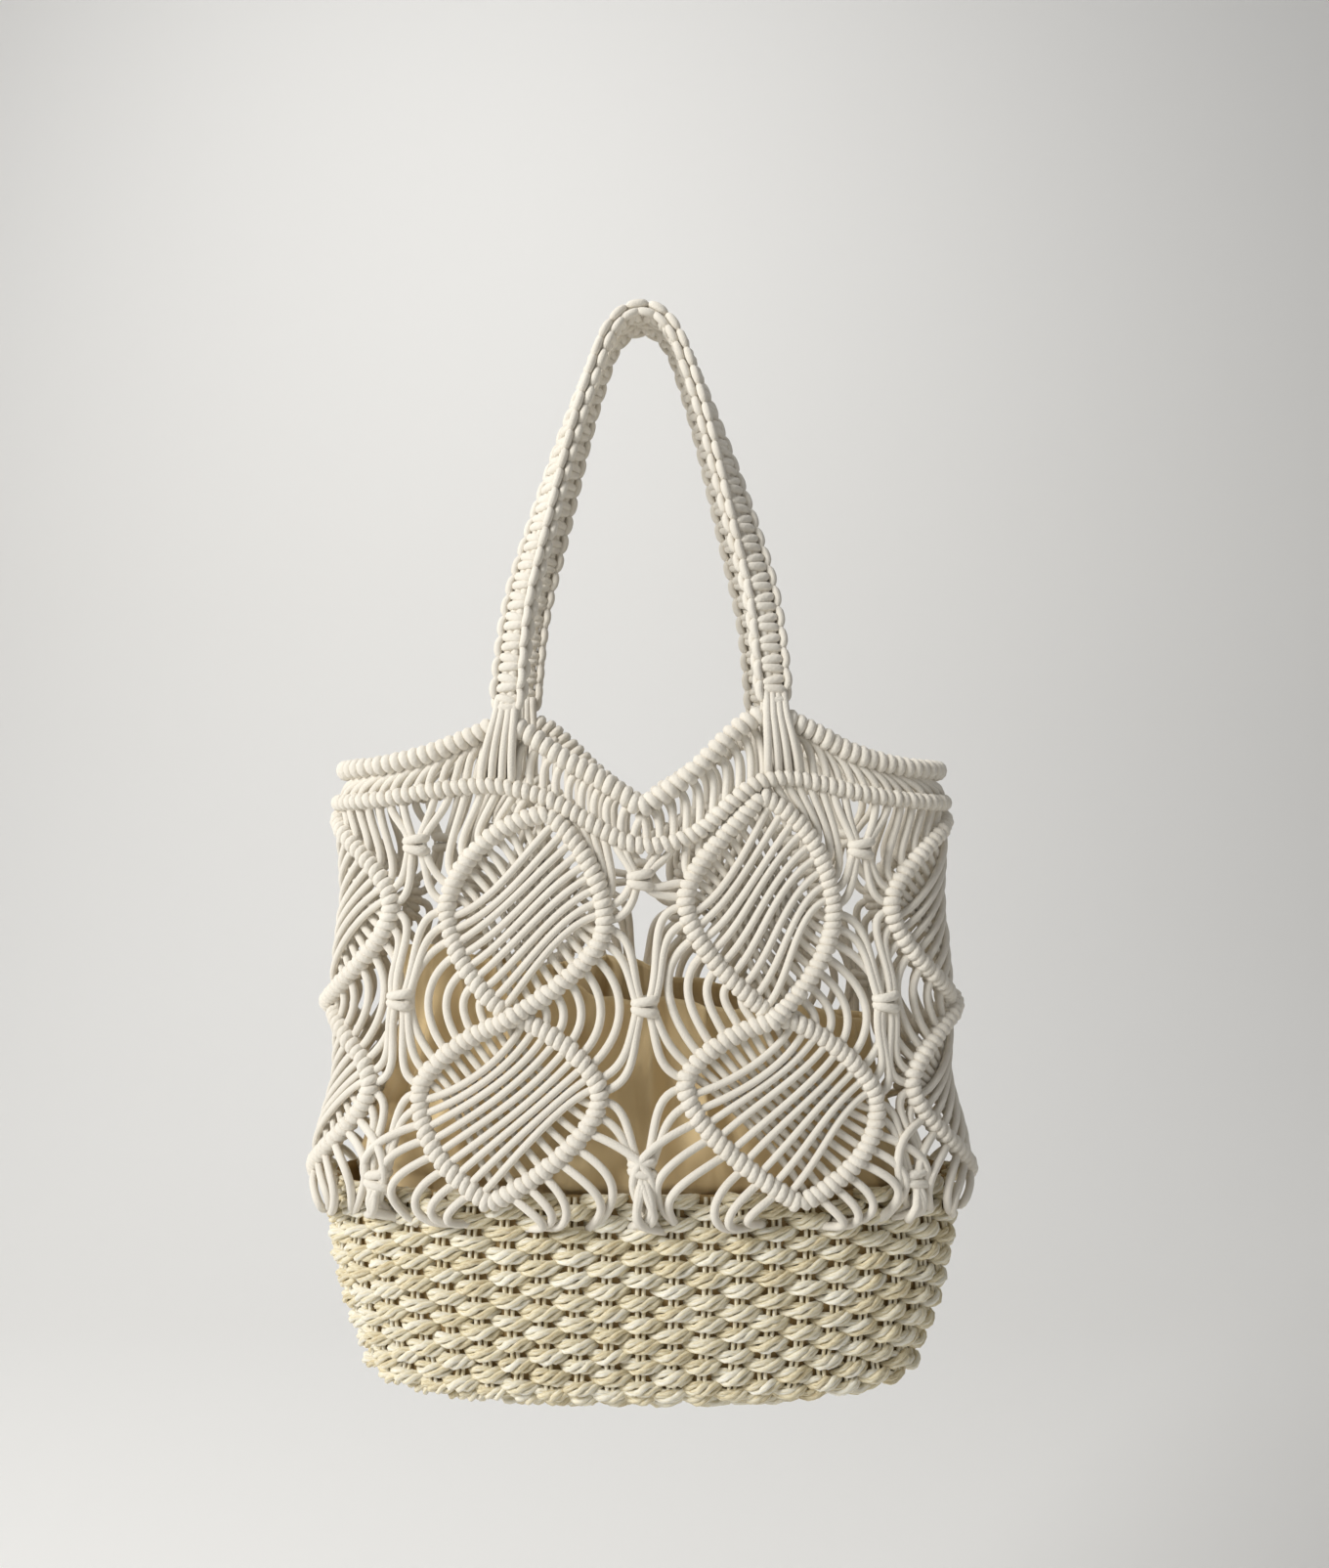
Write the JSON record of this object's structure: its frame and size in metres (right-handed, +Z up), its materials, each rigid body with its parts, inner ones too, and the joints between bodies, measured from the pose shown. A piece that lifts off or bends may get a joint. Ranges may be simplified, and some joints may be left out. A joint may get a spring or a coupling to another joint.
{
  "type": "macrame handbag with straw base",
  "caption": "Knotted cotton handbag with leaf-shaped motifs, a scalloped rim, two knotted straps, a woven straw base and a slack cloth lining, hung by its straps.",
  "frame": {"origin": "underside of the two straps at the top, where the bag hangs", "axes": "+Z up, front faces -Y, +X to the right seen from the front"},
  "size_m": [0.3416, 0.1244, 0.5458],
  "materials": {
    "cotton_cord": "matt twisted cotton",
    "twisted_straw": "matt twisted straw",
    "lining_cotton": "matt thin cotton"
  },
  "bodies": {
    "root": {"strap_front": "cotton_cord", "strap_back": "cotton_cord", "rim_cord": "cotton_cord", "yoke_cord": "cotton_cord", "yoke_front": "cotton_cord", "yoke_back": "cotton_cord", "leaf_0_upper": "cotton_cord", "leaf_0_lower": "cotton_cord", "leaf_1_upper": "cotton_cord", "leaf_1_lower": "cotton_cord", "leaf_2_upper": "cotton_cord", "leaf_2_lower": "cotton_cord", "leaf_3_upper": "cotton_cord", "leaf_3_lower": "cotton_cord", "leaf_4_upper": "cotton_cord", "leaf_4_lower": "cotton_cord", "leaf_5_upper": "cotton_cord", "leaf_5_lower": "cotton_cord", "link_0": "cotton_cord", "link_1": "cotton_cord", "link_2": "cotton_cord", "link_3": "cotton_cord", "link_4": "cotton_cord", "link_5": "cotton_cord", "straw_basket": "twisted_straw", "lining": "lining_cotton"}
  },
  "joints": []
}
